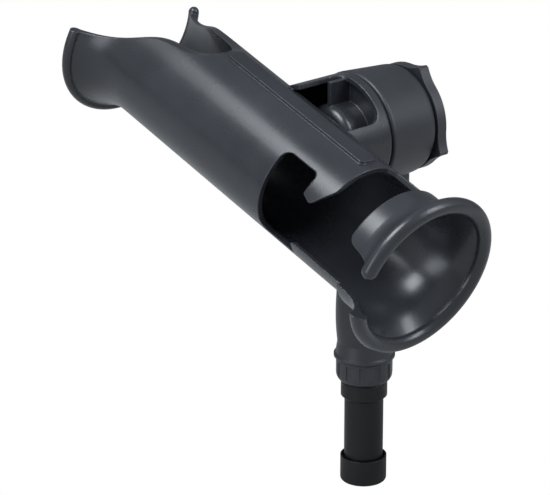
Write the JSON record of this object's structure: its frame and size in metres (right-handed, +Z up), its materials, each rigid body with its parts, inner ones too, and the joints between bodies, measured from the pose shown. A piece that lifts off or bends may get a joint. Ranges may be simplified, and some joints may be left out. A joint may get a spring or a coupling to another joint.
{
  "type": "rod holder",
  "caption": "Open-sided fishing rod cradle that tilts on a clamped toothed pivot and swivels on a socket post.",
  "frame": {"origin": "on the post axis, at the lower face of the swivel nut, which rests on the socket's mouth", "axes": "+Z up the post, +X towards the cradle's bell mouth, +Y towards the tilt knob"},
  "size_m": [0.2278, 0.1243, 0.2165],
  "materials": {
    "cradle_plastic": "satin",
    "bracket_plastic": "satin",
    "post_plastic": "satin",
    "cap_plastic": "satin",
    "stainless": "brushed",
    "friction_rubber": "matt",
    "slip_plastic": "smooth",
    "nut_plastic": "satin",
    "clutch_plastic": "satin",
    "knob_plastic": "satin",
    "insert_brass": "turned"
  },
  "bodies": {
    "socket_post": {"post": "post_plastic", "end_cap": "cap_plastic", "end_cap_washer": "stainless", "end_cap_screw": "stainless", "friction_ring": "friction_rubber", "slip_washer": "slip_plastic"},
    "nut": {"swivel_nut": "nut_plastic"},
    "bracket": {"tilt_bracket": "bracket_plastic", "bracket_clutch_ring": "clutch_plastic", "bolt_bush": "slip_plastic", "spring_plate": "stainless", "slide_ring": "slip_plastic", "knob_washer": "stainless"},
    "cradle": {"cradle_tube": "cradle_plastic", "cradle_clutch_ring": "clutch_plastic", "release_spring": "stainless", "tilt_bolt": "stainless", "bolt_keeper": "stainless"},
    "knob": {"tilt_knob": "knob_plastic", "knob_insert": "insert_brass", "knob_cap": "knob_plastic"}
  },
  "joints": [
    {"name": "swivel", "type": "hinge", "parent": "socket_post", "child": "bracket", "pos_m": [0, 0, 0.009], "axis": [0, 0, 1], "continuous": true},
    {"name": "nut_turn", "type": "hinge", "parent": "bracket", "child": "nut", "pos_m": [0, 0, 0.006], "axis": [0, 0, 1], "range_deg": [-720, 54]},
    {"name": "tilt", "type": "hinge", "parent": "bracket", "child": "cradle", "pos_m": [0, 0, 0.1249], "axis": [0, 1, 0], "range_deg": [-75, 58]},
    {"name": "knob_turn", "type": "hinge", "parent": "cradle", "child": "knob", "pos_m": [0, 0, 0.1249], "axis": [0, 1, 0], "range_deg": [-470, 720]}
  ]
}
